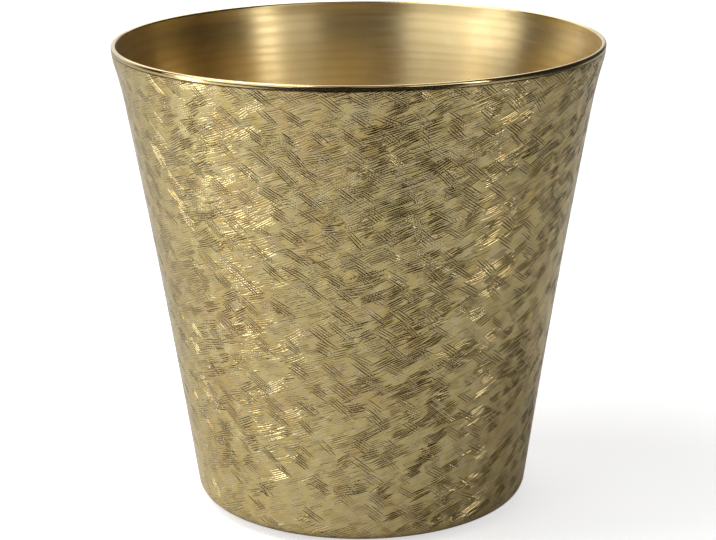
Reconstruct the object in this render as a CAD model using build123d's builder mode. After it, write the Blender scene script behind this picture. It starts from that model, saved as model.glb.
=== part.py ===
"""A round metal cachepot: one spun shell with a flared wall, standing on four felt pads."""
import os
from math import atan2, cos, degrees, radians, sin

from build123d import *

os.makedirs("parts", exist_ok=True)

# The whole pot, in millimetres
mouth_diameter = 160.0          # over the lip, at its widest
shell_height = 152.9            # from the standing face of the metal to the top of the lip
wall = 1.6                      # the metal, equally thick all over

# The base: a flat standing ring round a raised middle, and the corner up into the wall
ring_radius = 50.7              # where the standing ring ends and the corner starts
corner_radius = 4.9             # outside
ring_width = 18.7
kick_height = 2.5               # how far the middle of the base is raised
kick_slope = 5.0                # how wide the step up to it is
kick_bend = 4.0                 # bend radius at the top and bottom of that step

# The wall: a long shallow curve, then a short flare, then the lip straightens up
wall_bow = 1.1                  # degrees that the long curve leans less at its foot than on average
flare_height = 18.9             # from the start of the flare to the top of the lip
flare_reach = 3.9               # how far the lip stands outside the start of the flare
lip_height = 5.9                # from where the flare ends to the top of the lip
lip_reach = 0.85                # how far the lip stands outside that point
lip_rounding_share = 0.49       # each edge's rounding, as a share of the metal's thickness

# The pads: felt, with a glue disc that stays a little inside the felt's edge
pad_diameter = 14.0
felt_thickness = 1.8
glue_thickness = 0.2
glue_setback = 0.3
pad_edge_softening = 0.3

# Places that follow from these
mouth_radius = mouth_diameter / 2
glue_level = felt_thickness
shell_level = felt_thickness + glue_thickness
kick_foot_radius = ring_radius - ring_width
kick_top_radius = kick_foot_radius - kick_slope
pad_circle_radius = ring_radius - ring_width / 2
flare_start = (mouth_radius - flare_reach, shell_height - flare_height)
flare_end = (mouth_radius - lip_reach, shell_height - lip_height)
lip_end = (mouth_radius, shell_height)
wall_run = flare_start[0] - ring_radius - corner_radius
wall_rise = flare_start[1] - corner_radius
foot_lean = radians(degrees(atan2(wall_run, wall_rise)) - wall_bow)
corner_end = (
    ring_radius + corner_radius * cos(foot_lean),
    corner_radius * (1 - sin(foot_lean)),
)

# The shell is the outside line of the pot, thickened inwards and turned about the axis
upright_plane = Plane((0, 0, shell_level), x_dir=(1, 0, 0), z_dir=(0, -1, 0))
with BuildPart() as pot_shell:
    with BuildSketch(upright_plane) as section:
        with BuildLine() as outside:
            base = FilletPolyline(
                (0, kick_height),
                (kick_top_radius, kick_height),
                (kick_foot_radius, 0),
                (ring_radius, 0),
                radius=kick_bend,
            )
            corner = TangentArc(base @ 1, corner_end, tangent=base % 1)
            side = TangentArc(corner @ 1, flare_start, tangent=corner % 1)
            flare = TangentArc(side @ 1, flare_end, tangent=side % 1)
            lip = TangentArc(flare @ 1, lip_end, tangent=flare % 1)
            offset(amount=wall, side=Side.LEFT)
        make_face()
        lip_corners = section.vertices().sort_by(Axis.Y)[-2:]
        fillet(lip_corners, radius=wall * lip_rounding_share)
    revolve(axis=Axis.Z)
pot_shell.part.label = "pot_shell"
export_step(pot_shell.part, "parts/pot_shell.step")

# Each pad is a felt disc under a thinner glue disc, on the middle of the standing ring
pad_angles = {"front_left": 225, "front_right": 315, "back_left": 135, "back_right": 45}
for place, angle in pad_angles.items():
    turn = radians(angle)
    centre = (pad_circle_radius * cos(turn), pad_circle_radius * sin(turn))

    with BuildPart() as felt_pad:
        with BuildSketch():
            with Locations(centre):
                Circle(pad_diameter / 2)
        extrude(amount=felt_thickness)
        rims = felt_pad.edges().filter_by(GeomType.CIRCLE)
        fillet(rims.sort_by(Axis.Z)[0], radius=pad_edge_softening)
    felt_pad.part.label = f"felt_pad_{place}"
    export_step(felt_pad.part, f"parts/felt_pad_{place}.step")

    with BuildPart() as glue_disc:
        with BuildSketch(Plane.XY.offset(glue_level)):
            with Locations(centre):
                Circle(pad_diameter / 2 - glue_setback)
        extrude(amount=glue_thickness)
    glue_disc.part.label = f"glue_disc_{place}"
    export_step(glue_disc.part, f"parts/glue_disc_{place}.step")

total_height = shell_level + shell_height
print(f"over all {mouth_diameter:.1f} x {mouth_diameter:.1f} x {total_height:.1f} mm")
print(f"metal {pot_shell.part.volume / 1000:.1f} cubic centimetres")
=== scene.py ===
from collections import namedtuple
from math import cos, pi, radians, sin, tan

import bpy
import numpy as np
from mathutils import Euler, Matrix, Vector


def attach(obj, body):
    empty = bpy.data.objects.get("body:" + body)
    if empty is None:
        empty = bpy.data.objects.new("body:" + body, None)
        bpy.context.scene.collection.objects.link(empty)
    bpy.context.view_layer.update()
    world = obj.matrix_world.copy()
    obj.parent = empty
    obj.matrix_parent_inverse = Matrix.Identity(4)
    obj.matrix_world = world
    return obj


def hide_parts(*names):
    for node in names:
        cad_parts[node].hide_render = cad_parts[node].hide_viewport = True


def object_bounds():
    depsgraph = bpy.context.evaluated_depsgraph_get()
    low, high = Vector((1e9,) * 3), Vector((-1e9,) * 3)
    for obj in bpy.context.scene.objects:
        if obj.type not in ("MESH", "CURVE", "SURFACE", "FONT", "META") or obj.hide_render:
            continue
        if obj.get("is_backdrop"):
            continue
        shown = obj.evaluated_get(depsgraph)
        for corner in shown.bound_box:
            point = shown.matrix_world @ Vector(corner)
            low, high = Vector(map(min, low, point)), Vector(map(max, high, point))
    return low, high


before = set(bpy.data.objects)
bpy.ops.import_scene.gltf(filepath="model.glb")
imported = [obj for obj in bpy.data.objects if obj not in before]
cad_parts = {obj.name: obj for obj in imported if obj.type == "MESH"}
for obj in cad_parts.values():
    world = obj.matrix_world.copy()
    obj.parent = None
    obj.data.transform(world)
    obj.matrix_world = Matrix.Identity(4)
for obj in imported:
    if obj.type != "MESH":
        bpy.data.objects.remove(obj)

CAD_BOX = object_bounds()
MM = 0.001

# The shell's outline, in millimetres, as the frame's own shell has it
MOUTH_RADIUS = 80.0
SHELL_HEIGHT = 152.9
SHELL_LEVEL = 2.0               # the felt and its glue lift the metal this far
WALL = 1.6
RING_RADIUS = 50.7
CORNER_RADIUS = 4.9
RING_WIDTH = 18.7
KICK_HEIGHT = 2.5
KICK_SLOPE = 5.0
KICK_BEND = 4.0
WALL_BOW = radians(1.1)
FLARE_HEIGHT, FLARE_REACH = 18.9, 3.9
LIP_HEIGHT, LIP_REACH = 5.9, 0.85
POLISHED_BAND = 0.9             # the smooth edge under the lip's top, which the strokes stop at

# How finely the shell is meshed
COLUMNS = 1512        # round the engraved wall
CELL = 0.24           # row height on the engraved wall, in millimetres
FEW = COLUMNS // 4                      # columns round the smooth inside and base
SMOOTH_CELL = 1.5                       # row height inside, in millimetres
ARC_STEPS, BEND_STEPS, LIP_STEPS = 200, 6, 10

# The strokes, in millimetres and degrees; a pair is the range that a bundle's or stroke's value comes from
SEED = 7
RISING = {                      # strokes that cover the whole wall, many of them faint
    "lean": 22.0, "spread": 5.0, "row_pitch": 3.2, "bundle_pitch": 6.4, "strokes": (4, 7),
    "pitch": (0.6, 0.8), "length": (6.5, 12.5), "half_width": (0.23, 0.31),
    "faint": 0.55, "faint_slope": (6.0, 13.0), "slope": (25.0, 35.0), "dish": 0.008,
}
FALLING = {                     # the fewer, deeper strokes that cross them
    "lean": -38.0, "spread": 5.0, "row_pitch": 6.4, "bundle_pitch": 10.0, "strokes": (3, 6),
    "pitch": (0.66, 0.88), "length": (7.0, 12.0), "half_width": (0.24, 0.32),
    "faint": 0.2, "faint_slope": (7.0, 11.0), "slope": (19.0, 27.0), "dish": 0.012,
}
ROW_OFFSET = (-0.1, 0.1)        # how far a whole row of bundles strays round the wall, in bundle pitches
BUNDLE_STRAY, ROW_STRAY = 0.12, 0.13    # how far one bundle strays round and up, in its pitches
SIDE_STRAY, END_STRAY, LEAN_STRAY = 0.06, 0.7, 1.2      # how far a stroke strays in its bundle
BEND_STRAY = 0.004              # how much bundles differ in their strokes' bend, per millimetre
LENGTH_SHARE, SLOPE_SHARE, DISH_SHARE = (0.6, 1.1), (0.9, 1.0), (0.3, 1.0)
DISH_WIDTH, DISH_REACH = 0.36, 1.6      # a hollow's half width per stroke, and how far out it is worked out
LEANING = -0.15                 # how far the bottom of a stroke lies from its middle, in half widths
END_TAPER = 1.0                 # how much narrower a stroke gets by its ends, in half widths
CLEAR_CUT = 0.15                # the share of its depth from which a falling stroke wipes out others
LIP_FADE = 0.5                  # how gently the strokes run out under the lip
RELIEF_SHARE = 0.3              # how much of a stroke's depth the mesh itself has
OFF_STROKE = 3                  # places further out than this many half widths count the same
READINGS = ("stroke_along", "stroke_across", "stroke_depth")    # what the mesh tells the material

# The fine hatching between the strokes, which only the material has
FINE_CUT = 0.07                 # its depth
DARK_HATCH = {"Angle": radians(RISING["lean"] - 4), "Pitch": 0.66, "Length": 9.0, "Share": 1.1}
PALE_HATCH = {"Angle": radians(RISING["lean"] + 3), "Pitch": 0.9, "Length": 9.0, "Share": 0.7, "Seed": 8.0}
CROSS_HATCH = {
    "Angle": radians(FALLING["lean"] + 4), "Pitch": 0.75, "Length": 6.0, "Share": 0.5, "Seed": 4.0,
}

# The shell's material slots, and places on it
ENGRAVED, POLISHED, TURNED, UNDERSIDE = range(4)
FIRST_AZIMUTH = pi / 2          # the first column is at the back
MEAN_RADIUS = 66.0              # the wall's, for measuring round it
LIP_SEAM = SHELL_LEVEL + SHELL_HEIGHT - WALL / 2 - POLISHED_BAND    # the height at which the strokes stop
FLOOR_EDGE = WALL + 4           # the height above the metal's foot at which the floor's map starts

# The shell's colour map, in pixels: three cells for the outside, and one for the inside, floor and underside
MAP = 1024
CELL_MARGIN = 4
CELL_SIDE = MAP / 2 - 2 * CELL_MARGIN
STRIP_CELLS = [(0, 0), (1, 0), (0, 1)]
INSIDE_CELL = (516, 516, 504, 184)      # left, bottom, width and height
INSIDE_SHARE, INSIDE_GAP = 0.97, 0.02   # how much of it the inside wall takes, and the gap at the top
DISC_CENTRES = {"floor": (642, 862), "underside": (898, 862)}
DISC_RADIUS = 122
DISC_RIM = 0.5                  # millimetres of spare room round each disc

# The felt pads and their loose fibres, in millimetres
PAD_CIRCLE = RING_RADIUS - RING_WIDTH / 2
PAD_RADIUS, FELT_THICKNESS, PAD_SOFTENING = 7.0, 1.8, 0.3
PAD_ANGLES = {"front_left": 225, "front_right": 315, "back_left": 135, "back_right": 45}
PAD_COLUMNS = 144
FACE_RINGS, FOOT_EDGE_STEPS, SIDE_STEPS, TOP_EDGE_STEPS = 22, 5, 5, 3
LUMPS = ((0.035, 1.1), (0.03, 0.45))    # depth and size of the pressed wool's unevenness
RIM_LUMP, RIM_SIZE, RIM_REACH = 0.06, 5.0, 1.0
WAVES = 18                      # how many waves make up the lumps
PAD_MAP_CENTRES = {"foot": (0.25, 0.75), "top": (0.75, 0.75)}   # on the pad's own map, in shares of it
PAD_MAP_RADIUS = 0.235
EDGE_LEFT, EDGE_WIDTH, EDGE_LOW, EDGE_HEIGHT = 0.02, 0.96, 0.37, 0.1    # the strip for the pad's edge
FIBRES = 140
FIBRE_LENGTH, FIBRE_RADIUS = (0.35, 1.1), (0.018, 0.032)
FIBRE_ROOT, FIBRE_REACH = 0.12, 0.55    # how far inside the pad's edge it starts and may stand out of it
FIBRE_LOW, FIBRE_HIGH, FIBRE_GAP = 0.15, 0.2, 0.05  # how near the felt's foot and top it starts and gets
FIBRE_POINTS, FIBRE_SIDES = 6, 3
FIBRE_CELL, FIBRES_IN_ROW = (0.069, 0.031), 14          # each fibre's room on the map
FIBRE_STRIP, FIBRE_FOOT, FIBRE_HEAD, FIBRE_TIP = 0.02, 0.006, 0.022, 0.004  # the widths and heights it takes

# Colours, and the three tones that each metal and the adhesive drift between in soft patches
CUT_COLOUR = (0.125, 0.054, 0.006, 1)
SCRATCH_COLOUR = (0.79, 0.71, 0.47, 1)
# painted highlight: the near-white that the cuts' flanks are paled towards, so that their glints read whiter
FLANK_HIGHLIGHT_COLOUR = (0.95, 0.92, 0.82, 1)
SHADOW_COLOUR = (0.06, 0.025, 0.008, 1)
EDGE_TINT = (0.97, 0.92, 0.82, 1)
RING_COLOUR = (0.45, 0.32, 0.12, 1)
FELT_DARK, FELT_LIGHT, FELT_FLECK = (0.20, 0.15, 0.11, 1), (0.33, 0.265, 0.20, 1), (0.47, 0.41, 0.33, 1)
FLOOR_COLOUR = (0.84, 0.84, 0.84, 1)
WHITE = (1, 1, 1, 1)
TONES = {                       # base, warm, pale, and the patches' size in millimetres
    "wall": ((0.615, 0.485, 0.19, 1), (0.575, 0.42, 0.16, 1), (0.635, 0.52, 0.235, 1), 16.0),
    "lip": ((0.66, 0.51, 0.25, 1), (0.64, 0.46, 0.21, 1), (0.70, 0.57, 0.32, 1), 12.0),
    "inside": ((0.76, 0.60, 0.31, 1), (0.74, 0.57, 0.28, 1), (0.78, 0.64, 0.36, 1), 30.0),
    "underside": ((0.58, 0.46, 0.22, 1), (0.53, 0.39, 0.19, 1), (0.62, 0.53, 0.30, 1), 14.0),
    "film": ((0.86, 0.83, 0.74, 1), (0.80, 0.74, 0.60, 1), (0.90, 0.88, 0.82, 1), 3.0),
}

# How strongly the wall's hatching and cuts tint it, from 0 to 1; the flanks' share is a painted highlight,
# which pales the cuts' flanks so that their glints read whiter
PALE_SCRATCHES, DARK_SCRATCHES, PAINTED_FLANK_HIGHLIGHT = 0.6, 0.75, 0.1
DARKEST_CUT, FAINT_CUT = 0.82, 0.2      # a stroke's bottom, and how much of that a shallow one has
LIP_SHADOW = 0.9                # the dark line under the polished edge
RINGS_SEEN = 0.14               # the turning rings inside

# The camera, worked out from the photograph's outline of the pot
PHOTO_WIDTH = 716               # pixels
FOCAL = 2161.1                  # pixels
CAMERA_BACK, CAMERA_UP = 694.4, 272.9   # millimetres from the axis and above the metal's foot
CAMERA_DOWN, CAMERA_ROLL = radians(15.91), radians(-0.42)
AXIS_PIXEL = 360.17             # where the pot's axis crosses the picture's middle row
SENSOR = 36.0
NEAREST = 0.01                  # metres

# Lamps: azimuth in degrees to the right of the camera's side, height and distance from the axis, width and
# height of the lamp, power in watts, and the height on the axis that it faces; lengths in millimetres
LAMPS = {
    "left_softbox": (-48, 380, 620, (500, 460), 0.93, 80),
    "left_fill": (-80, 370, 620, (340, 360), 0.6, 80),
    "left_strip": (-77, 110, 620, (150, 250), 0.56, 80),
    "right_strip": (52, 345, 620, (110, 390), 0.42, 80),
    "front_softbox": (38, 640, 850, (460, 260), 0.72, 80),
    "high_left": (-54, 950, 420, (560, 260), 0.66, 120),
    "high_right": (34, 950, 420, (620, 260), 0.42, 120),
    "top_softbox": (-90, 1000, 500, (600, 600), 5.2, 0),
    "back_softbox": (190, 900, 900, (1200, 800), 3.4, 0),
}
ROOM, BACKDROP = 0.025, 1.0     # the world's brightness, and that of the white backdrop behind the pot

# The floor, in metres, and what it adds to be white for the camera and in the pot's reflections
FLOOR_SIDES, FLOOR_ENDS = (-1.5, 0.6), (-0.4, 3.0)
POT_GLOW, FAR_GLOW, GLOW_REACH = 0.62, 1.0, (0.35, 1.2)     # for the camera, by the pot and far from it
BEHIND_GLOW, BEHIND_REACH = 0.12, (0.15, 0.6)               # in reflections of the floor behind the pot


# Plane geometry of the outline: points are (radius, height) pairs

def unit(arrow):
    arrow = np.asarray(arrow, float)
    return arrow / np.linalg.norm(arrow)


def tangent_arc(start, heading, end, steps):
    """Points after start on the arc that leaves it along heading and ends at end, and its last heading."""
    start, heading, end = np.asarray(start, float), unit(heading), np.asarray(end, float)
    chord = end - start
    side = np.array([-heading[1], heading[0]])
    turn = 2 * np.arctan2(chord @ side, chord @ heading)
    angles = turn * np.arange(1, steps + 1) / steps
    radius = np.linalg.norm(chord) / (2 * sin(turn / 2))
    along, across = np.sin(angles)[:, None], (1 - np.cos(angles))[:, None]
    return start + radius * (along * heading + across * side), cos(turn) * heading + sin(turn) * side


def bent(points, radius, steps):
    """A chain of points whose inner corners are rounded to a bend radius."""
    chain = [np.asarray(points[0], float)]
    for before, corner, after in zip(points, points[1:], points[2:]):
        into, out = unit(np.subtract(corner, before)), unit(np.subtract(after, corner))
        turn = np.arccos(np.clip(into @ out, -1, 1))
        setback = radius * tan(turn / 2)
        start, end = corner - into * setback, corner + out * setback
        chain += [start, *tangent_arc(start, into, end, steps)[0]]
    chain.append(np.asarray(points[-1], float))
    return np.array(chain)


def run_of(line):
    """How far along a line each of its points lies."""
    return np.concatenate([[0], np.cumsum(np.linalg.norm(np.diff(line, axis=0), axis=1))])


def even_points(line, cell):
    """Points about one cell apart along a line, its ends kept."""
    run = run_of(line)
    at = np.linspace(0, run[-1], max(2, round(run[-1] / cell)) + 1)
    return np.stack([np.interp(at, run, line[:, k]) for k in (0, 1)], 1)


def outward_of(line):
    """Unit normals to the right of a line's direction: outwards for a wall that runs up."""
    along = np.gradient(line, axis=0)
    along /= np.linalg.norm(along, axis=1)[:, None]
    return np.stack([along[:, 1], -along[:, 0]], 1)


def turned(pairs, columns, start=FIRST_AZIMUTH):
    """(radius, height) pairs turned about the axis: rows by columns by three."""
    azimuth = start + 2 * pi * np.arange(columns) / columns
    r, z = pairs[:, 0, None], pairs[:, 1, None]
    return np.stack([r * np.cos(azimuth), r * np.sin(azimuth), z + 0 * azimuth], 2)


def rings(line, columns):
    """The shell's points that an outline above the metal's foot turns through, in metres."""
    return turned(line + np.array([0, SHELL_LEVEL]), columns) * MM


def underside_line():
    """The underside from the axis to the outer edge of the standing ring."""
    kick_foot = RING_RADIUS - RING_WIDTH
    corners = [(0, KICK_HEIGHT), (kick_foot - KICK_SLOPE, KICK_HEIGHT), (kick_foot, 0), (RING_RADIUS, 0)]
    return bent(corners, KICK_BEND, BEND_STEPS)


def wall_line():
    """The outside from the standing ring's edge up to the lip, in arcs that run into each other."""
    flare_start = (MOUTH_RADIUS - FLARE_REACH, SHELL_HEIGHT - FLARE_HEIGHT)
    flare_end = (MOUTH_RADIUS - LIP_REACH, SHELL_HEIGHT - LIP_HEIGHT)
    run, rise = flare_start[0] - RING_RADIUS - CORNER_RADIUS, flare_start[1] - CORNER_RADIUS
    lean = np.arctan2(run, rise) - WALL_BOW
    corner_end = (RING_RADIUS + CORNER_RADIUS * cos(lean), CORNER_RADIUS * (1 - sin(lean)))
    at, heading = (RING_RADIUS, 0), (1, 0)
    pieces = [np.array([at])]
    for end in (corner_end, flare_start, flare_end, (MOUTH_RADIUS, SHELL_HEIGHT)):
        points, heading = tangent_arc(at, heading, end, ARC_STEPS)
        pieces.append(points)
        at = points[-1]
    line = np.concatenate(pieces)
    run = run_of(line)
    end = run[-1] - WALL / 2        # the lip's rounding takes the rest
    stop = [np.interp(end, run, line[:, k]) for k in (0, 1)]
    return even_points(np.concatenate([line[run < end], [stop]]), CELL)


# The engraving: rows of bundles of parallel strokes, a dense kind and a deeper kind across it

Stroke = namedtuple("Stroke", "azimuth along lean half width deep bend")


def bundle_places(rng, run, radii, kind):
    """Each bundle's azimuth and place along the wall."""
    row_pitch, bundle_pitch = kind["row_pitch"], kind["bundle_pitch"]
    for row, along in enumerate(np.arange(0, run[-1] + row_pitch, row_pitch)):
        radius = np.interp(along, run, radii)
        number = round(2 * pi * radius / bundle_pitch)
        offset = 0.5 * (row % 2) + rng.uniform(*ROW_OFFSET)
        for k in range(number):
            turn = 2 * pi * (k + offset + rng.normal(0, BUNDLE_STRAY)) / number
            yield turn, along + rng.normal(0, ROW_STRAY * row_pitch)


def strokes_of(rng, azimuth, along, radius, kind):
    """The strokes of the bundle at this place."""
    lean = radians(kind["lean"] + rng.normal(0, kind["spread"]))
    length = rng.uniform(*kind["length"])
    pitch = rng.uniform(*kind["pitch"])
    slope = rng.uniform(*kind["faint_slope" if rng.uniform() < kind["faint"] else "slope"])
    number = rng.integers(*kind["strokes"])
    bend = rng.normal(0, BEND_STRAY)
    for k in range(number):
        across = (k - (number - 1) / 2) * pitch + rng.normal(0, SIDE_STRAY)
        shift = rng.normal(0, END_STRAY)
        width = rng.uniform(*kind["half_width"])
        yield Stroke(
            azimuth=azimuth + (shift * cos(lean) - across * sin(lean)) / radius,
            along=along + shift * sin(lean) + across * cos(lean),
            lean=lean + radians(rng.normal(0, LEAN_STRAY)),
            half=length * rng.uniform(*LENGTH_SHARE) / 2,
            width=width,
            deep=width * tan(radians(slope * rng.uniform(*SLOPE_SHARE))),
            bend=bend,
        )


def place_in_stroke(x, y, lean, half, width, bend):
    """Shares along and across a stroke, each -1 to 1, of a place x round and y up from its middle."""
    p = x * np.cos(lean) + y * np.sin(lean)
    q = y * np.cos(lean) - x * np.sin(lean) - bend * (p * p - half * half / 3)
    return p / half, q / width


def wall_near(run, radii, azimuth, along, wide, tall, shift):
    """The part of the wall's grid near a place, and how far round and up from the place its points are.

    The points of the grid lie shift columns after the start of their columns."""
    step = 2 * pi / COLUMNS
    first, last = np.searchsorted(run, (along - tall, along + tall))
    turn = wide / radii[min(first, len(radii) - 1)]
    columns = np.arange(int((azimuth - turn) / step), int((azimuth + turn) / step) + 2)
    x = ((columns[None] + shift) * step - azimuth) * radii[first:last, None]
    y = run[first:last, None] - along
    return np.ix_(np.arange(first, last), columns % COLUMNS), x, y


def cut_stroke(depths, owners, number, run, radii, stroke, wipes):
    """Cuts one stroke into the grid of faces where it is the deepest, or where it wipes the others out."""
    tall = stroke.half * abs(sin(stroke.lean)) + 2 * stroke.width
    wide = stroke.half * cos(stroke.lean) + 2 * stroke.width
    patch, x, y = wall_near(run, radii, stroke.azimuth, stroke.along, wide, tall, 0.5)
    p, q = place_in_stroke(x, y, stroke.lean, stroke.half, stroke.width, stroke.bend)
    across = np.minimum((1 + q) / (1 + LEANING), (1 - q) / (1 - LEANING))
    share = np.clip(np.minimum(across, 1) - END_TAPER * p**4, 0, 1)
    depth = stroke.deep * share
    deeper = (depth > depths[patch]) | (wipes & (share > CLEAR_CUT))
    depths[patch] = np.where(deeper, depth, depths[patch])
    owners[patch] = np.where(deeper, number, owners[patch])


def press_dish(dishes, run, radii, azimuth, along, strokes, depth):
    """Presses the shallow hollow of a whole bundle into the wall's grid of depths."""
    lean, half = strokes[0].lean, max(stroke.half for stroke in strokes)
    wide = DISH_WIDTH * len(strokes)
    reach = DISH_REACH * max(half, wide)
    patch, x, y = wall_near(run, radii, azimuth, along, reach, reach, 0)
    p, q = x * cos(lean) + y * sin(lean), y * cos(lean) - x * sin(lean)
    dishes[patch] += depth * np.exp(-((p / half) ** 2 + (q / wide) ** 2))


def engrave(line):
    """Cuts the wall: how deep its points are in millimetres, and each face corner's place in its stroke."""
    rng = np.random.default_rng(SEED)
    run, radii = run_of(line), line[:, 0]
    middles, middle_radii = (run[1:] + run[:-1]) / 2, (radii[1:] + radii[:-1]) / 2
    dishes = np.zeros((len(run), COLUMNS))
    cuts, owners = np.zeros((len(middles), COLUMNS)), np.zeros((len(middles), COLUMNS), int)
    all_strokes = [Stroke(0, 0, 0, 1, 1, 0, 0)]     # a stroke of no depth, for the faces that none cuts
    for kind in (RISING, FALLING):
        for azimuth, along in bundle_places(rng, run, radii, kind):
            radius = np.interp(along, run, radii)
            strokes = list(strokes_of(rng, azimuth, along, radius, kind))
            depth = kind["dish"] * rng.uniform(*DISH_SHARE)
            press_dish(dishes, run, radii, azimuth, along, strokes, depth)
            for stroke in strokes:
                cut_stroke(cuts, owners, len(all_strokes), middles, middle_radii, stroke, kind is FALLING)
                all_strokes.append(stroke)
    fade = np.clip((run[-1] - POLISHED_BAND - run) / LIP_FADE, 0, 1)[:, None]
    relief = RELIEF_SHARE * point_depths(cuts) + dishes
    return relief * fade, stroke_corners(run, radii, owners, all_strokes, fade)


def point_depths(cuts):
    """The depths of the wall's points from those of the faces round them, a little softened."""
    edged = np.pad(cuts, ((1, 1), (0, 0)), mode="edge")
    depths = (edged[1:] + edged[:-1]) / 2
    depths = (depths + np.roll(depths, 1, 1)) / 2
    return (np.roll(depths, 1, 1) + 2 * depths + np.roll(depths, -1, 1)) / 4


def stroke_corners(run, radii, owners, all_strokes, fade):
    """For each face's four corners, its shares along and across the face's stroke and the stroke's depth."""
    own = Stroke(*(column[owners] for column in np.array(all_strokes).T))
    found = []
    for up, on in ((0, 0), (0, 1), (1, 1), (1, 0)):
        rows = slice(up, len(run) - 1 + up)
        turn = 2 * pi * (np.arange(COLUMNS)[None] + on) / COLUMNS - own.azimuth
        x = ((turn + pi) % (2 * pi) - pi) * radii[rows, None]
        p, q = place_in_stroke(x, run[rows, None] - own.along, own.lean, own.half, own.width, own.bend)
        found.append(np.stack([p, q, own.deep * fade[rows]], 2))
    return np.clip(np.stack(found, 2), -OFF_STROKE, OFF_STROKE)


# The meshes, and their places on the colour maps in shares of a map

class Bands:
    """Bands of faces gathered into one mesh, with their materials and their corners' places on the map."""

    def __init__(self):
        self.points, self.corners, self.places, self.sizes, self.slots = [], [], [], [], []
        self.count = 0

    def add_points(self, grid):
        """Adds a grid of points and returns the number of its first one."""
        first = self.count
        self.points.append(grid.reshape(-1, 3))
        self.count += len(self.points[-1])
        return first

    def add_faces(self, corners, places, slot, flip=False):
        """Adds faces, rows of corner numbers, with the map places of those corners."""
        order = -1 if flip else 1
        self.corners.append(corners[:, ::order].ravel())
        self.places.append(places[:, ::order].reshape(-1, 2))
        self.sizes.append(np.full(len(corners), corners.shape[1]))
        self.slots.append(np.full(len(corners), slot))

    def add_quads(self, first, rows, columns, left, right, slot, flip=False):
        """Adds the quads of a closed band; left and right are the map places on each side of a column."""
        i, j = np.meshgrid(np.arange(rows - 1), np.arange(columns), indexing="ij")
        a, b = first + i * columns + j, first + i * columns + (j + 1) % columns
        corners = np.stack([a, b, b + columns, a + columns], 2).reshape(-1, 4)
        places = np.stack([left[:-1], right[:-1], right[1:], left[1:]], 2)
        self.add_faces(corners, places.reshape(-1, 4, 2), slot, flip)

    def add_fan(self, first, columns, middle, left, right, middle_place, slot, flip=False):
        """Closes the ring that starts at point first with triangles to its middle point."""
        around = np.arange(columns)
        corners = [first + around, first + (around + 1) % columns, np.full(columns, middle)]
        places = [left, right, np.broadcast_to(middle_place, left.shape)]
        self.add_faces(np.stack(corners, 1), np.stack(places, 1), slot, flip)

    def mesh(self, name):
        mesh = bpy.data.meshes.new(name)
        points, corners = np.concatenate(self.points), np.concatenate(self.corners)
        sizes, places = np.concatenate(self.sizes), np.concatenate(self.places)
        mesh.vertices.add(len(points))
        mesh.vertices.foreach_set("co", points.astype(np.float32).ravel())
        mesh.loops.add(len(corners))
        mesh.loops.foreach_set("vertex_index", corners.astype(np.int32))
        mesh.polygons.add(len(sizes))
        starts = np.cumsum(sizes) - sizes
        mesh.polygons.foreach_set("loop_start", starts.astype(np.int32))
        mesh.polygons.foreach_set("use_smooth", np.ones(len(sizes), bool))
        mesh.polygons.foreach_set("material_index", np.concatenate(self.slots).astype(np.int32))
        mesh.update(calc_edges=True)
        mesh.uv_layers.new(name="OFBake").data.foreach_set("uv", places.astype(np.float32).ravel())
        return mesh


def strip_places(heights):
    """Map places left and right of each column of the outside, which lies in three strips."""
    share = np.arange(COLUMNS // 3 + 1) / (COLUMNS // 3)
    left, right = [], []
    for cell in STRIP_CELLS:
        origin = np.array(cell) * MAP / 2 + CELL_MARGIN
        u = np.broadcast_to(origin[0] + share * CELL_SIDE, (len(heights), len(share)))
        v = np.broadcast_to(origin[1] + heights[:, None] * CELL_SIDE, u.shape)
        both = np.stack([u, v], 2) / MAP
        left.append(both[:, :-1])
        right.append(both[:, 1:])
    return np.concatenate(left, 1), np.concatenate(right, 1)


def inside_place(columns, height):
    """Map places of the inside wall's rings at these heights, their first point also as their last."""
    x, y, wide, tall = INSIDE_CELL
    share = np.arange(columns + 1) / columns
    u, v = np.broadcast_arrays(x + share * wide, y + height * tall)
    return np.stack([u, v], -1) / MAP


def disc_place(points, disc, radius):
    """The map place of points on the floor or the underside, seen from above."""
    return (np.array(DISC_CENTRES[disc]) + points[..., :2] / (radius * MM) * DISC_RADIUS) / MAP


def stitch():
    """Triangles between a fine and a coarse ring: which corners are on the fine one, and their columns."""
    ratio = COLUMNS // FEW
    middle = ratio // 2
    found = []
    for k in range(FEW):
        for s in range(ratio):
            column = k * ratio + s
            found.append(((1, column), (1, column + 1), (0, k if s < middle else k + 1)))
        found.append(((1, k * ratio + middle), (0, k + 1), (0, k)))
    found = np.array(found)
    return found[..., 0] == 1, found[..., 1]


def join_rings(bands, fine_first, few_first, fine_places, few_places, slot, flip=False):
    """Joins a fine ring to a coarse one; their map places run once round and end on the first column's."""
    fine, column = stitch()
    numbers = np.where(fine, fine_first + column % COLUMNS, few_first + column % FEW)
    places = np.where(fine[..., None], fine_places[column], few_places[np.minimum(column, FEW)])
    bands.add_faces(numbers, places, slot, flip)


def add_disc(bands, line, first, disc, radius, slot, flip=False):
    """Faces from the ring that starts at point first, through those of the line, to a point on the axis."""
    left = disc_place(rings(line, FEW), disc, radius)
    right = np.roll(left, -1, 1)
    centre = np.array([0, 0, (line[-1, 1] + SHELL_LEVEL) * MM])
    middle = bands.add_points(centre)
    bands.add_quads(first, len(line), FEW, left, right, slot, flip)
    last = first + (len(line) - 1) * FEW
    bands.add_fan(last, FEW, middle, left[-1], right[-1], disc_place(centre, disc, radius), slot, flip)


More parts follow.
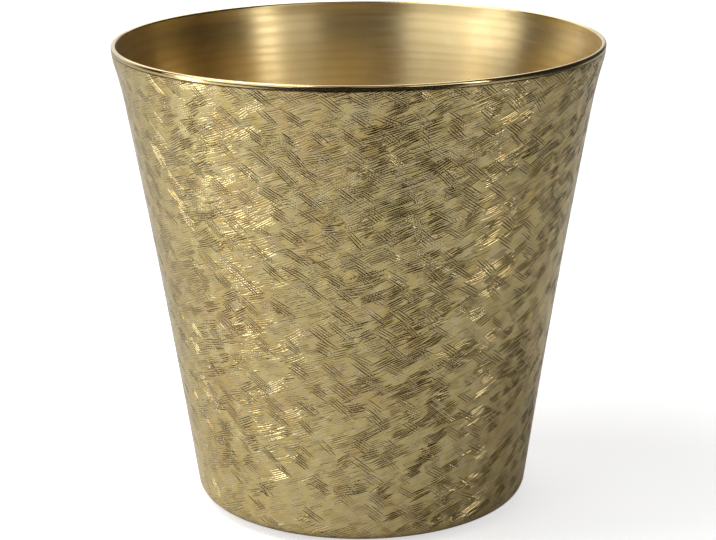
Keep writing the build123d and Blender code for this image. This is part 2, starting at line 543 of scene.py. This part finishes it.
def add_outside(bands, wall, lip, depths):
    """The engraved wall and the polished lip; returns how many rows of faces are engraved."""
    normals = turned(outward_of(wall), COLUMNS)
    cut_wall = rings(wall, COLUMNS) - normals * depths[:, :, None] * MM
    first = bands.add_points(np.concatenate([cut_wall, rings(lip, COLUMNS)]))
    run = run_of(np.concatenate([wall, lip]))
    left, right = strip_places(run / run[-1])
    seam = int(np.searchsorted(run, run[len(wall) - 1] - POLISHED_BAND))
    bands.add_quads(first, seam + 1, COLUMNS, left[: seam + 1], right[: seam + 1], ENGRAVED)
    polished_first = first + seam * COLUMNS
    bands.add_quads(polished_first, len(run) - seam, COLUMNS, left[seam:], right[seam:], POLISHED)
    return seam


def add_inside(bands, inside, kick, lip_ring):
    """The inside wall down from the lip's last ring, and the floor over the base's kick-up."""
    wall = even_points(inside[inside[:, 1] > WALL], SMOOTH_CELL)
    split = int(np.searchsorted(-wall[:, 1], -FLOOR_EDGE))
    run = run_of(wall)
    height = 1 - run / run[split] * INSIDE_SHARE - INSIDE_GAP
    places = inside_place(FEW, height[: split + 1, None])
    first = bands.add_points(rings(wall[: split + 1], FEW))
    bands.add_quads(first, split + 1, FEW, places[:, :-1], places[:, 1:], TURNED)
    join_rings(bands, lip_ring, first, inside_place(COLUMNS, 1.0), places[0], TURNED)
    floor_line = np.concatenate([wall[split:], kick[1:-1] + np.array([0, WALL])])
    bands.add_points(rings(floor_line[1:], FEW))
    add_disc(bands, floor_line, first + split * FEW, "floor", floor_line[0, 0] + DISC_RIM, TURNED)


def add_underside(bands, foot, kick):
    """The underside, from the engraved wall's first ring, whose outline point is foot, to the axis."""
    line = kick[1:-1]
    first = bands.add_points(rings(line, FEW))
    radius = RING_RADIUS + DISC_RIM
    around = []
    for ring in (rings(foot, COLUMNS)[0], rings(line[:1], FEW)[0]):
        places = disc_place(ring, "underside", radius)
        around.append(np.concatenate([places, places[:1]]))
    join_rings(bands, 0, first, *around, UNDERSIDE, flip=True)
    add_disc(bands, line, first, "underside", radius, UNDERSIDE, flip=True)


def build_shell():
    """The engraved outside, the lip, the inside and the underside, stitched into one closed mesh."""
    wall, kick = wall_line(), underside_line()[::-1]
    inside = (wall - WALL * outward_of(wall))[::-1]
    lip = tangent_arc(wall[-1], wall[-1] - wall[-2], inside[0], LIP_STEPS)[0][:-1]
    depths, corner_places = engrave(wall)
    bands = Bands()
    seam = add_outside(bands, wall, lip, depths)
    add_inside(bands, inside, kick, bands.count - COLUMNS)
    add_underside(bands, wall[:1], kick)
    mesh = bands.mesh("pot_shell_engraved")
    for k, name in enumerate(READINGS):
        values = np.zeros(len(mesh.loops), np.float32)
        found = corner_places[:seam, ..., k].ravel()
        values[: len(found)] = found
        mesh.attributes.new(name, "FLOAT", "CORNER").data.foreach_set("value", values)
    return mesh


# Material nodes: a socket stands for a value that changes over the surface

def tree_of(*values):
    """The node tree of the first socket among these values."""
    return next(value.id_data for value in values if isinstance(value, bpy.types.NodeSocket))


def plug(value, socket):
    """Links a socket to another, or gives it a plain value."""
    if isinstance(value, bpy.types.NodeSocket):
        socket.id_data.links.new(value, socket)
    else:
        socket.default_value = value


def calc(operation, *values, clamp=False):
    """The result of a Math node."""
    node = tree_of(*values).nodes.new("ShaderNodeMath")
    node.operation = operation
    node.use_clamp = clamp
    for value, socket in zip(values, node.inputs):
        plug(value, socket)
    return node.outputs["Value"]


def plus(a, b):
    return calc("ADD", a, b)


def minus(a, b):
    return calc("SUBTRACT", a, b)


def times(a, b):
    return calc("MULTIPLY", a, b)


def divided(a, b):
    return calc("DIVIDE", a, b)


def times_plus(a, b, c):
    """a times b, plus c."""
    return calc("MULTIPLY_ADD", a, b, c)


def from_middle(value):
    """How far a value is from the middle between its whole numbers."""
    return calc("ABSOLUTE", minus(calc("FRACT", value), 0.5))


def value_range(value, before, after):
    """A value carried smoothly from one range to another, kept inside it."""
    node = tree_of(value).nodes.new("ShaderNodeMapRange")
    node.interpolation_type = "SMOOTHSTEP"
    for number, socket in zip((value, *before, *after), node.inputs):
        plug(number, socket)
    return node.outputs["Result"]


def blend(kind, factor, a, b):
    """The result of a Mix node, for colours (RGBA) or numbers (FLOAT)."""
    node = tree_of(factor).nodes.new("ShaderNodeMix")
    node.data_type = kind
    offset = {"FLOAT": 2, "RGBA": 6}[kind]
    plug(factor, node.inputs[0])
    plug(a, node.inputs[offset])
    plug(b, node.inputs[offset + 1])
    return node.outputs[{"FLOAT": 0, "RGBA": 2}[kind]]


def noise(place, scale, detail=2.0, roughness=0.5):
    node = tree_of(place).nodes.new("ShaderNodeTexNoise")
    plug(place, node.inputs["Vector"])
    plug(scale, node.inputs["Scale"])
    plug(detail, node.inputs["Detail"])
    plug(roughness, node.inputs["Roughness"])
    return node.outputs["Fac"]


def place_at(x, y, z):
    node = tree_of(x, y, z).nodes.new("ShaderNodeCombineXYZ")
    for value, socket in zip((x, y, z), node.inputs):
        plug(value, socket)
    return node.outputs["Vector"]


def parts_of(place):
    """A place's x, y and z."""
    node = tree_of(place).nodes.new("ShaderNodeSeparateXYZ")
    plug(place, node.inputs["Vector"])
    return node.outputs


def distance_out(x, y):
    return calc("SQRT", plus(times(x, x), times(y, y)))


def along_and_across(x, y, c, s):
    """How far a place lies along a direction, given by its cosine and sine, and across it."""
    return plus(times(x, c), times(y, s)), minus(times(y, c), times(x, s))


def chance(place):
    """Three random numbers, as the parts of a colour, that stay the same for the same place."""
    tree = tree_of(place)
    node = tree.nodes.new("ShaderNodeTexWhiteNoise")
    node.noise_dimensions = "3D"
    plug(place, node.inputs["Vector"])
    split = tree.nodes.new("ShaderNodeSeparateColor")
    plug(node.outputs["Color"], split.inputs["Color"])
    return split.outputs


def node_group(name, inputs, outputs):
    """A node group with these named sockets: the group, what it is given and what it gives."""
    group = bpy.data.node_groups.new(name, "ShaderNodeTree")
    for label, kind, value in inputs:
        socket = group.interface.new_socket(label, in_out="INPUT", socket_type=f"NodeSocket{kind}")
        if value is not None:
            socket.default_value = value
    for label, kind in outputs.items():
        group.interface.new_socket(label, in_out="OUTPUT", socket_type=f"NodeSocket{kind}")
    given, result = group.nodes.new("NodeGroupInput"), group.nodes.new("NodeGroupOutput")
    return group, given.outputs, result.inputs


def use_group(group, **values):
    """Places a group in the tree of its inputs, whose names are given with _ for each space."""
    node = tree_of(*values.values()).nodes.new("ShaderNodeGroup")
    node.node_tree = group
    for label, value in values.items():
        plug(value, node.inputs[label.replace("_", " ")])
    return node.outputs


def unrolled_group():
    """A place on the wall in millimetres: round it at its mean radius, up it, and out from its axis."""
    group, given, result = node_group(
        "unrolled_place", [("Object Place", "Vector", None)], {"Place": "Vector"}
    )
    x, y, z = parts_of(given["Object Place"])
    turn = calc("ARCTAN2", x, times(y, -1.0))
    plug(place_at(times(turn, MEAN_RADIUS), z, distance_out(x, y)), result["Place"])
    return group


def hatch_group():
    """Bundles of fine parallel scratches at one angle: 1 in the middle of a scratch, 0 beside it."""
    group, given, result = node_group(
        "fine_hatch",
        [
            ("Place", "Vector", None), ("Angle", "Float", 0.4), ("Pitch", "Float", 0.6),
            ("Length", "Float", 6.0), ("Bundle Width", "Float", 3.0), ("Share", "Float", 0.6),
            ("Seed", "Float", 0.0),
        ],
        {"Cut": "Float"},
    )
    sway_scale, sway, slide_range, seed_step = 0.11, 1.2, 7.0, 9.0
    ragged_share, tip, edge = 0.22, (0.36, 0.5), (0.05, 0.4)
    u, v, _ = parts_of(given["Place"])
    p, q = along_and_across(u, v, calc("COSINE", given["Angle"]), calc("SINE", given["Angle"]))
    q = plus(q, times(noise(given["Place"], sway_scale, 1.0), sway))
    band = calc("FLOOR", divided(q, given["Bundle Width"]))
    slide, _, _ = chance(place_at(band, given["Seed"], 0.5))
    p = plus(divided(p, given["Length"]), times(slide, slide_range))
    bundle = calc("FLOOR", p)
    here, strength, _ = chance(place_at(bundle, band, given["Seed"]))
    lines = divided(q, given["Pitch"])
    ragged, deep, _ = chance(place_at(bundle, calc("FLOOR", lines), plus(given["Seed"], seed_step)))
    along = value_range(plus(from_middle(p), times(ragged, ragged_share)), tip, (1.0, 0.0))
    across = value_range(from_middle(lines), edge, (1.0, 0.0))
    present = calc("LESS_THAN", here, given["Share"])
    level = times(times_plus(strength, 0.5, 0.5), times_plus(deep, 0.8, 0.2))
    plug(times(times(along, across), times(present, level)), result["Cut"])
    return group


def tone_group():
    """A plated metal's colour, drifting towards a warm and a pale tone in soft patches."""
    group, given, result = node_group(
        "brass_tone",
        [
            ("Place", "Vector", None), ("Base", "Color", (0.6, 0.5, 0.2, 1)),
            ("Warm", "Color", (0.6, 0.4, 0.2, 1)), ("Pale", "Color", (0.7, 0.6, 0.4, 1)),
            ("Patch Size", "Float", 8.0),
        ],
        {"Color": "Color"},
    )
    warm_patch, pale_patch, smaller = (0.42, 0.66), (0.5, 0.75), 2.7
    scale = divided(1.0, given["Patch Size"])
    warm = value_range(noise(given["Place"], scale, 3.0), warm_patch, (0.0, 1.0))
    pale = value_range(noise(given["Place"], times(scale, smaller), 2.0), pale_patch, (0.0, 1.0))
    tone = blend("RGBA", warm, given["Base"], given["Warm"])
    plug(blend("RGBA", pale, tone, given["Pale"]), result["Color"])
    return group


def turning_group():
    """The fine rings that turning and brushing leave, as a height and a mask of the deeper ones."""
    group, given, result = node_group(
        "turning_rings",
        [("Place", "Vector", None), ("Spacing", "Float", 0.8), ("Seed", "Float", 0.0)],
        {"Height": "Float", "Deep Rings": "Float"},
    )
    round_scale, wander_scale, wander_turn, ring_turn, wave_share = 0.3, 0.12, 9.0, 2.2, 0.22
    x, y, z = parts_of(given["Place"])
    out = distance_out(x, y)
    level = minus(z, out)
    across = divided(level, given["Spacing"])
    toward_x, toward_y = divided(x, plus(out, 1.0)), divided(y, plus(out, 1.0))
    spot = place_at(
        times_plus(toward_x, round_scale, given["Seed"]), times(toward_y, round_scale), across
    )
    fine = noise(spot, 1.0, 2.0, 0.6)
    wander = noise(place_at(toward_x, toward_y, times(level, wander_scale)), 1.0, 1.0)
    wave = calc("SINE", times_plus(wander, wander_turn, times(across, ring_turn)))
    plug(times_plus(wave, wave_share, fine), result["Height"])
    plug(value_range(wave, (-0.2, 0.9), (0.0, 1.0)), result["Deep Rings"])
    return group


def satin_group():
    """Roughness that drifts between two values in cloudy patches, as handling and polishing leave it."""
    group, given, result = node_group(
        "satin_clouds",
        [
            ("Place", "Vector", None), ("Smooth", "Float", 0.2), ("Dull", "Float", 0.35),
            ("Patch Size", "Float", 10.0),
        ],
        {"Roughness": "Float"},
    )
    cloud = noise(given["Place"], divided(1.0, given["Patch Size"]), 3.0)
    plug(value_range(cloud, (0.3, 0.7), (given["Smooth"], given["Dull"])), result["Roughness"])
    return group


def stroke_group():
    """One stroke's leaning V, from the place in it: its share of the full depth, 1 at the bottom."""
    group, given, result = node_group(
        "engraved_stroke", [("Along", "Float", 0.0), ("Across", "Float", 0.0)], {"Profile": "Float"}
    )
    steep = divided(plus(1.0, given["Across"]), 1 + LEANING)
    gentle = divided(minus(1.0, given["Across"]), 1 - LEANING)
    across = calc("MINIMUM", steep, gentle, clamp=True)
    taper = times(calc("POWER", calc("ABSOLUTE", given["Along"]), 4.0), END_TAPER)
    plug(calc("SUBTRACT", across, taper, clamp=True), result["Profile"])
    return group


def wool_group():
    """Wool fibres matted every way: how light each strand is, its height, and a few pale flecks."""
    group, given, result = node_group(
        "matted_wool", [("Place", "Vector", None)],
        {"Strands": "Float", "Height": "Float", "Flecks": "Float"},
    )
    x, y, z = parts_of(given["Place"])
    curl = times(noise(given["Place"], 0.9, 1.0), 1.6)
    layers = []
    for k, (angle, rise) in enumerate(((0.3, 1.3), (1.2, -0.8), (2.1, 0.9), (2.8, -1.4))):
        p, q = along_and_across(x, y, cos(angle), sin(angle))
        q = plus(plus(q, curl), times(z, rise))
        layers.append(noise(place_at(times(p, 0.7), times(q, 7.0), plus(z, 3.0 * k)), 1.0, 2.0))
    top = calc("MAXIMUM", layers[0], layers[1])
    strands = value_range(minus(top, times(layers[2], 0.5)), (0.12, 0.45), (0.0, 1.0))
    plug(strands, result["Strands"])
    plug(calc("MAXIMUM", top, calc("MAXIMUM", layers[2], layers[3])), result["Height"])
    plug(value_range(layers[3], (0.66, 0.74), (0.0, 0.6)), result["Flecks"])
    return group


UNROLLED, HATCH, TONE, TURNING, SATIN = (
    unrolled_group(), hatch_group(), tone_group(), turning_group(), satin_group()
)


# Materials

def new_material(name):
    """A material with its shader."""
    material = bpy.data.materials.new(name)
    material.use_nodes = True
    return material, material.node_tree.nodes["Principled BSDF"]


def in_millimetres(shader):
    """The object's own place, in millimetres."""
    tree = shader.id_data
    scaled = tree.nodes.new("ShaderNodeVectorMath")
    scaled.operation = "SCALE"
    plug(1 / MM, scaled.inputs["Scale"])
    plug(tree.nodes.new("ShaderNodeTexCoord").outputs["Object"], scaled.inputs[0])
    return scaled.outputs["Vector"]


def tone_at(place, surface):
    """A surface's colour, which drifts between its three tones."""
    base, warm, pale, patch_size = TONES[surface]
    return use_group(TONE, Place=place, Base=base, Warm=warm, Pale=pale, Patch_Size=patch_size)["Color"]


def metal(name, surface):
    """A metal material: the material, its shader, its place in millimetres and its colour."""
    material, shader = new_material(name)
    plug(1, shader.inputs["Metallic"])
    place = in_millimetres(shader)
    return material, shader, place, tone_at(place, surface)


def bump(shader, height, distance):
    """Gives a shader the relief of a height, in millimetres where the height is 1."""
    node = shader.id_data.nodes.new("ShaderNodeBump")
    plug(distance * MM, node.inputs["Distance"])
    plug(height, node.inputs["Height"])
    plug(node.outputs["Normal"], shader.inputs["Normal"])


def mesh_reading(shader, name):
    """What the mesh tells of a stroke, by the reading's name."""
    node = shader.id_data.nodes.new("ShaderNodeAttribute")
    node.attribute_name = name
    return node.outputs["Fac"]


def engraved_wall():
    """Plated metal with dark, slightly dull cuts and fine scratches between them; the cuts' flanks carry a
    painted highlight, and a painted shade line runs under the polished edge.
    """
    material, shader, place, tone = metal("engraved_wall", "wall")
    along, across, full_depth = (mesh_reading(shader, name) for name in READINGS)
    profile = use_group(stroke_group(), Along=along, Across=across)["Profile"]
    unrolled = use_group(UNROLLED, Object_Place=place)["Place"]
    dark, pale, crossing = (
        use_group(HATCH, Place=unrolled, **hatch)["Cut"] for hatch in (DARK_HATCH, PALE_HATCH, CROSS_HATCH)
    )
    tone = blend("RGBA", times(calc("MAXIMUM", pale, crossing), PALE_SCRATCHES), tone, SCRATCH_COLOUR)
    tone = blend("RGBA", times(dark, DARK_SCRATCHES), tone, CUT_COLOUR)
    # Painted highlight: the cuts' flanks are paled towards near-white, so that their glints read whiter
    flank_highlight_mask = value_range(profile, (0.0, 0.1), (0.0, 1.0))
    tone = blend("RGBA", times(flank_highlight_mask, PAINTED_FLANK_HIGHLIGHT), tone, FLANK_HIGHLIGHT_COLOUR)
    bottom = value_range(profile, (0.45, 0.85), (0.0, DARKEST_CUT))
    bottom = times(bottom, value_range(full_depth, (0.02, 0.12), (FAINT_CUT, 1.0)))
    tone = blend("RGBA", bottom, tone, CUT_COLOUR)
    level = times_plus(noise(place, 0.35), 0.8, parts_of(place)["Z"])
    under_lip = value_range(level, (LIP_SEAM - 0.1, LIP_SEAM + 0.4), (0.0, LIP_SHADOW))
    plug(blend("RGBA", under_lip, tone, SHADOW_COLOUR), shader.inputs["Base Color"])
    plug(EDGE_TINT, shader.inputs["Specular Tint"])
    satin = use_group(SATIN, Place=place, Smooth=0.12, Dull=0.2, Patch_Size=6.0)["Roughness"]
    bright_cut = value_range(profile, (0.0, 0.1), (1.0, 0.5))
    plug(times(satin, bright_cut), shader.inputs["Roughness"])
    depth = times_plus(calc("MAXIMUM", dark, crossing), FINE_CUT, times(profile, full_depth))
    bump(shader, times(depth, -1.0), 1.0)
    return material


def polished_lip():
    """Polished metal with hardly any trace of its turning."""
    material, shader, place, tone = metal("polished_lip", "lip")
    plug(tone, shader.inputs["Base Color"])
    trace = use_group(TURNING, Place=place, Spacing=0.25, Seed=3.0)["Height"]
    plug(value_range(trace, (0.3, 0.7), (0.08, 0.16)), shader.inputs["Roughness"])
    bump(shader, trace, 0.004)
    return material


def turned_inside():
    """Satin metal, brushed round and round, which draws reflections out across the brushing."""
    material, shader, place, tone = metal("turned_inside", "inside")
    turning = use_group(TURNING, Place=place, Spacing=0.9)
    tone = blend("RGBA", times(turning["Deep Rings"], RINGS_SEEN), tone, RING_COLOUR)
    plug(tone, shader.inputs["Base Color"])
    rough = value_range(turning["Height"], (0.3, 0.7), (0.32, 0.38))
    plug(times_plus(turning["Deep Rings"], -0.02, rough), shader.inputs["Roughness"])
    brushed = shader.id_data.nodes.new("ShaderNodeTangent")
    brushed.direction_type = "RADIAL"
    brushed.axis = "Z"
    plug(brushed.outputs["Tangent"], shader.inputs["Tangent"])
    plug(0.8, shader.inputs["Anisotropic"])
    plug(0.25, shader.inputs["Anisotropic Rotation"])
    bump(shader, turning["Height"], 0.02)
    return material


def turned_underside():
    """Duller metal with the rings of its turning left in it."""
    material, shader, place, tone = metal("turned_underside", "underside")
    plug(tone, shader.inputs["Base Color"])
    turning = use_group(TURNING, Place=place, Spacing=0.7, Seed=6.0)
    satin = use_group(SATIN, Place=place, Smooth=0.28, Dull=0.4, Patch_Size=9.0)["Roughness"]
    plug(satin, shader.inputs["Roughness"])
    bump(shader, turning["Height"], 0.03)
    return material


def pressed_felt():
    """Brown wool felt: strands of lighter and darker wool, matted and slightly shiny at its nap."""
    material, shader = new_material("pressed_felt")
    wool = use_group(wool_group(), Place=in_millimetres(shader))
    tone = blend("RGBA", wool["Strands"], FELT_DARK, FELT_LIGHT)
    plug(blend("RGBA", wool["Flecks"], tone, FELT_FLECK), shader.inputs["Base Color"])
    plug(value_range(wool["Strands"], (0.2, 0.8), (0.98, 0.86)), shader.inputs["Roughness"])
    plug(0.35, shader.inputs["Sheen Weight"])
    plug(0.5, shader.inputs["Sheen Roughness"])
    bump(shader, wool["Height"], 0.12)
    return material


def adhesive_film():
    """The pads' double-sided adhesive: a pale, slightly cloudy film with fine wet-out marks."""
    material, shader = new_material("adhesive_film")
    place = in_millimetres(shader)
    plug(tone_at(place, "film"), shader.inputs["Base Color"])
    satin = use_group(SATIN, Place=place, Smooth=0.3, Dull=0.5, Patch_Size=1.2)["Roughness"]
    plug(satin, shader.inputs["Roughness"])
    bump(shader, noise(place, 2.5, 3.0), 0.02)
    return material


def put_in(name, data):
    """A new object in the scene."""
    made = bpy.data.objects.new(name, data)
    bpy.context.scene.collection.objects.link(made)
    return made


shell = put_in("pot_shell_engraved", build_shell())
for material in (engraved_wall(), polished_lip(), turned_inside(), turned_underside()):
    shell.data.materials.append(material)
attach(shell, "root")
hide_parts("pot_shell")


# The felt pads, and the glue discs' own finish

def pad_line():
    """A pad's outline from its foot's middle to its top's, and where its foot and side end."""
    r, t, soft, top_soft = PAD_RADIUS, FELT_THICKNESS, PAD_SOFTENING, PAD_SOFTENING / 2
    foot = np.linspace((0, 0), (r - soft, 0), FACE_RINGS)
    foot_edge = tangent_arc(foot[-1], (1, 0), (r, soft), FOOT_EDGE_STEPS)[0]
    side = np.linspace((r, soft), (r, t - top_soft), SIDE_STEPS + 1)[1:]
    top_edge = tangent_arc(side[-1], (0, 1), (r - top_soft, t), TOP_EDGE_STEPS)[0]
    top = np.linspace((r - top_soft, t), (0, t), FACE_RINGS)[1:]
    foot_end, side_end = len(foot) + 2, len(foot) + len(foot_edge) + len(side)
    return np.concatenate([foot, foot_edge, side, top_edge, top]), foot_end, side_end


def lumps(rng, points, size):
    """A smooth random height from about -1 to 1 at each point, its lumps about this size."""
    total = 0
    for _ in range(WAVES):
        wave = unit(rng.normal(size=3)) * 2 * pi / (size * rng.uniform(0.6, 1.8))
        total = total + np.sin(points @ wave + rng.uniform(0, 2 * pi))
    return total / (WAVES / 2) ** 0.5 / 2.5


def pad_points(rng, line):
    """A pad's rings of points, pressed unevenly, and standing on the floor."""
    grid = turned(line[1:-1], PAD_COLUMNS, start=0)
    normals = turned(outward_of(line)[1:-1], PAD_COLUMNS, start=0)
    press = sum(deep * (1 + lumps(rng, grid, size)) for deep, size in LUMPS)
    rim = np.clip((line[1:-1, 0] - PAD_RADIUS + RIM_REACH) / RIM_REACH, 0, 1)[:, None]
    press = press * (0.5 + rim) + RIM_LUMP * rim * (1 + lumps(rng, grid * (1, 1, 0.2), RIM_SIZE))
    grid = grid - normals * press[..., None]
    grid[..., 2] -= grid[..., 2].min()
    return grid


def fibre_spine(rng, turn, height):
    """A loose fibre's points from inside the pad's edge to its tip, their radii, and its heading."""
    length, thickness = rng.uniform(*FIBRE_LENGTH), rng.uniform(*FIBRE_RADIUS)
    outward = np.array([cos(turn), sin(turn), 0])
    start = (PAD_RADIUS - FIBRE_ROOT) * outward + np.array([0, 0, height])
    heading = unit(outward + rng.normal(0, 0.75, 3) * (1, 1, 0.5))
    curl = rng.normal(0, 0.5, 3)
    share = np.linspace(0, 1, FIBRE_POINTS)[:, None]
    spine = start + length * (heading * share + curl * share**2 * 0.6)
    spine[:, 2] = np.clip(spine[:, 2], FIBRE_GAP, FELT_THICKNESS - FIBRE_GAP)
    reach = np.maximum(np.linalg.norm(spine[:, :2], axis=1) / (PAD_RADIUS + FIBRE_REACH), 1)
    spine[:, :2] /= reach[:, None]
    return spine, thickness * (1 - 0.6 * share), heading


def add_fibre(bands, rng, cell, turn, height):
    """One loose wool fibre that stands out of a pad's edge, three-sided and thinning to its tip."""
    spine, radii, heading = fibre_spine(rng, turn, height)
    across = unit(np.cross(heading, (0, 0, 1)))
    above = np.cross(heading, across)
    angles = 2 * pi * np.arange(FIBRE_SIDES) / FIBRE_SIDES
    around = np.array([across * cos(a) + above * sin(a) for a in angles])
    first = bands.add_points(spine[:-1, None] + around[None] * radii[:-1, None])
    tip = bands.add_points(spine[-1:])
    x, y = cell
    u = x + FIBRE_STRIP * np.arange(FIBRE_SIDES + 1)
    v = y + np.linspace(FIBRE_FOOT, FIBRE_HEAD, FIBRE_POINTS - 1)
    places = np.stack(np.meshgrid(u, v), 2)
    left, right = places[:, :-1], places[:, 1:]
    bands.add_quads(first, FIBRE_POINTS - 1, FIBRE_SIDES, left, right, 0)
    tip_places = (left[-1] + right[-1]) / 2 + (0, FIBRE_TIP)
    bands.add_fan(tip - FIBRE_SIDES, FIBRE_SIDES, tip, left[-1], right[-1], tip_places, 0)
    root = np.array([[(x, y), (x + FIBRE_STRIP, y), (x + FIBRE_STRIP / 2, y + FIBRE_TIP)]])
    bands.add_faces(np.array([[first + 2, first + 1, first]]), root, 0)


def pad_disc_places(centre, lengths, full_length):
    """Map places of rings at these lengths from a disc's middle, left and right of each column."""
    ends = 2 * pi * np.arange(PAD_COLUMNS + 1) / PAD_COLUMNS
    spot = np.stack([np.cos(ends), np.sin(ends)], 1)
    places = np.array(centre) + lengths[:, None, None] / full_length * PAD_MAP_RADIUS * spot[None]
    return places[:, :-1], places[:, 1:]


def build_pad(place, angle):
    """A pressed felt disc: lumpy faces, a slightly uneven rim and loose fibres round it."""
    rng = np.random.default_rng(SEED + angle)
    line, foot_end, side_end = pad_line()
    run, columns = run_of(line), PAD_COLUMNS
    grid = pad_points(rng, line)
    bands = Bands()
    first = bands.add_points(grid)
    middles = bands.add_points(np.array([[0, 0, grid[0, :, 2].mean()], [0, 0, grid[-1, :, 2].mean()]]))

    foot = pad_disc_places(PAD_MAP_CENTRES["foot"], run[1 : foot_end + 1], run[foot_end])
    bands.add_quads(first, foot_end, columns, *foot, 0)
    bands.add_fan(first, columns, middles, foot[0][0], foot[1][0], PAD_MAP_CENTRES["foot"], 0, flip=True)

    share = (run[foot_end : side_end + 1] - run[foot_end]) / (run[side_end] - run[foot_end])
    level = EDGE_LOW + EDGE_HEIGHT * share
    band = np.stack(np.meshgrid(EDGE_LEFT + EDGE_WIDTH * np.arange(columns + 1) / columns, level), 2)
    bands.add_quads(first + (foot_end - 1) * columns, len(level), columns, band[:, :-1], band[:, 1:], 0)

    top = pad_disc_places(PAD_MAP_CENTRES["top"], run[-1] - run[side_end:-1], run[foot_end])
    bands.add_quads(first + (side_end - 1) * columns, len(top[0]), columns, *top, 0)
    last = first + (len(grid) - 1) * columns
    bands.add_fan(last, columns, middles + 1, top[0][-1], top[1][-1], PAD_MAP_CENTRES["top"], 0)

    for k in range(FIBRES):
        row, place_in_row = divmod(k, FIBRES_IN_ROW)
        cell = EDGE_LEFT + FIBRE_CELL[0] * place_in_row, EDGE_LEFT + FIBRE_CELL[1] * row
        turn = rng.uniform(0, 2 * pi)
        add_fibre(bands, rng, cell, turn, rng.uniform(FIBRE_LOW, FELT_THICKNESS - FIBRE_HIGH))
    bands.points = [points * MM for points in bands.points]
    pad = put_in(f"felt_{place}", bands.mesh(f"felt_{place}"))
    turn = radians(angle)
    pad.location = (PAD_CIRCLE * cos(turn) * MM, PAD_CIRCLE * sin(turn) * MM, 0)
    return pad


felt, film = pressed_felt(), adhesive_film()
for place, angle in PAD_ANGLES.items():
    pad = build_pad(place, angle)
    pad.data.materials.append(felt)
    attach(pad, "root")
    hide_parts(f"felt_pad_{place}")
    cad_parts[f"glue_disc_{place}"].material_slots[0].material = film


# Camera, light and floor

def build_camera():
    """A camera where the photograph's was."""
    camera = put_in("camera", bpy.data.cameras.new("camera"))
    camera.location = (0, -CAMERA_BACK * MM, (CAMERA_UP + SHELL_LEVEL) * MM)
    tilt = Euler((pi / 2 - CAMERA_DOWN, 0, 0)).to_matrix()
    camera.rotation_euler = (tilt @ Euler((0, 0, CAMERA_ROLL)).to_matrix()).to_euler()
    camera.data.sensor_width = SENSOR
    camera.data.lens = FOCAL * SENSOR / PHOTO_WIDTH
    camera.data.shift_x = -(AXIS_PIXEL - PHOTO_WIDTH / 2) / PHOTO_WIDTH
    camera.data.clip_start = NEAREST
    bpy.context.scene.camera = camera


def light_path(tree):
    """1 for the rays that see the background, camera and transmission rays; and 1 for glossy rays."""
    path = tree.nodes.new("ShaderNodeLightPath").outputs
    return calc("MAXIMUM", path["Is Camera Ray"], path["Is Transmission Ray"]), path["Is Glossy Ray"]


def build_world():
    """A dim studio with a white backdrop behind the pot, which is white wherever the camera looks."""
    world = bpy.data.worlds.new("studio")
    bpy.context.scene.world = world
    world.use_nodes = True
    background = world.node_tree.nodes["Background"]
    x, y, _ = parts_of(world.node_tree.nodes.new("ShaderNodeTexCoord").outputs["Generated"])
    seen, glossy = light_path(world.node_tree)
    behind = value_range(y, (0.3, 0.8), (0.0, 1.0))
    beside = value_range(x, (0.0, 0.5), (1.0, 0.03))
    seen = calc("MAXIMUM", times(times(behind, beside), glossy), seen)
    plug(WHITE, background.inputs["Color"])
    plug(blend("FLOAT", seen, ROOM, BACKDROP), background.inputs["Strength"])


def build_softbox(name, azimuth, height, distance, size, power, aim):
    """A rectangular area lamp; the LAMPS table says what its values are."""
    data = bpy.data.lights.new(name, "AREA")
    data.shape = "RECTANGLE"
    data.size, data.size_y = size[0] * MM, size[1] * MM
    data.energy = power
    lamp = put_in(name, data)
    turn = radians(azimuth)
    lamp.location = (distance * sin(turn) * MM, -distance * cos(turn) * MM, height * MM)
    lamp.rotation_euler = (Vector((0, 0, aim * MM)) - lamp.location).to_track_quat("-Z", "Y").to_euler()


def floor_paper():
    """Pale paper: the camera sees it nearly white round the pot, where its shadow is, and white far off."""
    material, shader = new_material("floor_paper")
    place = shader.id_data.nodes.new("ShaderNodeTexCoord").outputs["Object"]
    flat = shader.id_data.nodes.new("ShaderNodeVectorMath")
    flat.operation = "LENGTH"
    plug(place, flat.inputs[0])
    seen, glossy = light_path(shader.id_data)
    camera_glow = times(seen, value_range(flat.outputs["Value"], GLOW_REACH, (POT_GLOW, FAR_GLOW)))
    behind = value_range(parts_of(place)["Y"], BEHIND_REACH, (0.0, 1.0))
    mirror_glow = times(glossy, times(behind, BEHIND_GLOW))
    plug(plus(mirror_glow, camera_glow), shader.inputs["Emission Strength"])
    plug(WHITE, shader.inputs["Emission Color"])
    plug(FLOOR_COLOUR, shader.inputs["Base Color"])
    plug(0.9, shader.inputs["Roughness"])
    return material


def build_floor():
    """A sheet of paper under the pot, from a little in front of it to far behind."""
    (left, right), (near, far) = FLOOR_SIDES, FLOOR_ENDS
    mesh = bpy.data.meshes.new("floor")
    corners = [(left, near, 0), (right, near, 0), (right, far, 0), (left, far, 0)]
    mesh.from_pydata(corners, [], [(0, 1, 2, 3)])
    floor = put_in("floor", mesh)
    floor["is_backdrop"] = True
    mesh.materials.append(floor_paper())


build_camera()
build_world()
for name, values in LAMPS.items():
    build_softbox(name, *values)
build_floor()
bpy.context.scene.view_settings.view_transform = "Standard"

boxes = {"cad": CAD_BOX, "visual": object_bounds()}
{name: [list(corner) for corner in box] for name, box in boxes.items()}
